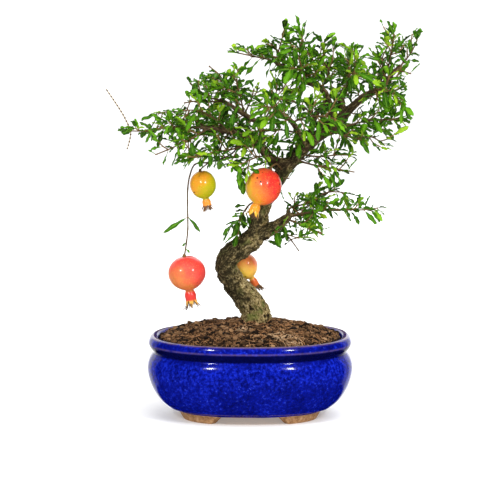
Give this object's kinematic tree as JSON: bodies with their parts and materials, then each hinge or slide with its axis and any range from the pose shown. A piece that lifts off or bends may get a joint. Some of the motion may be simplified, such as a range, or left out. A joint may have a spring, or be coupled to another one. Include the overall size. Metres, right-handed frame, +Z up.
{
  "type": "dwarf pomegranate bonsai",
  "caption": "Dwarf pomegranate bonsai with an S-shaped trunk, narrow leaves and hanging fruits, in an oval cobalt glazed pot on clay feet.",
  "frame": {"origin": "centre of the object's box, on the surface that the pot's feet stand on", "axes": "+Z up, +X along the pot to the right as the picture shows it, -Y towards the viewer"},
  "size_m": [0.3126, 0.2023, 0.406],
  "materials": {
    "cobalt_glaze": "deep cobalt gloss glaze, bare tan clay on the feet",
    "peat": "crumbly moist peat with fibres",
    "bark": "rough grey-brown bark with moss",
    "leaf": "glossy narrow leaves on brown twigs",
    "stalk": "smooth tan-brown stalk",
    "coral_rind": "satin coral-red rind",
    "yellow_rind": "satin yellow rind blushed orange",
    "orange_rind": "satin orange rind, red on one side",
    "peach_rind": "satin peach rind, coral on top",
    "screen_plastic": "black plastic mesh"
  },
  "bodies": {
    "root": {"branch_of_fruit": "stalk", "drain_screen_left": "screen_plastic", "drain_screen_right": "screen_plastic", "fruit_front": "orange_rind", "fruit_hanging": "coral_rind", "fruit_small": "peach_rind", "fruit_yellow": "yellow_rind", "pot": "cobalt_glaze", "soil": "peat", "stalk_front": "stalk", "stalk_small": "stalk", "stem_back_left_side": "leaf", "stem_back_left_tip": "leaf", "stem_back_side": "leaf", "stem_back_tip": "leaf", "stem_cluster_back": "leaf", "stem_cluster_left": "leaf", "stem_cluster_middle": "leaf", "stem_cluster_stub": "leaf", "stem_cluster_top": "leaf", "stem_crown_back": "leaf", "stem_crown_drop": "leaf", "stem_crown_front": "leaf", "stem_crown_inner": "leaf", "stem_crown_side": "leaf", "stem_crown_spire": "leaf", "stem_crown_tip": "leaf", "stem_front_left": "leaf", "stem_front_right": "leaf", "stem_front_tip": "leaf", "stem_left_back": "leaf", "stem_left_crest": "leaf", "stem_left_front": "leaf", "stem_left_hanging": "leaf", "stem_left_high": "leaf", "stem_left_low": "leaf", "stem_left_tip": "leaf", "stem_left_under": "leaf", "stem_peak_back": "leaf", "stem_peak_front": "leaf", "stem_peak_left": "leaf", "stem_peak_right": "leaf", "stem_peak_spire": "leaf", "stem_peak_tip": "leaf", "stem_peak_twig": "leaf", "stem_right_back": "leaf", "stem_right_high_drop": "leaf", "stem_right_high_tip": "leaf", "stem_right_low_back": "leaf", "stem_right_low_drop": "leaf", "stem_right_low_front": "leaf", "stem_right_low_tip": "leaf", "stem_right_low_upper": "leaf", "stem_right_middle": "leaf", "stem_right_thin": "leaf", "stem_top_back": "leaf", "stem_top_front": "leaf", "stem_top_upright": "leaf", "stem_trunk_twig": "leaf", "trunk": "bark"}
  },
  "joints": []
}
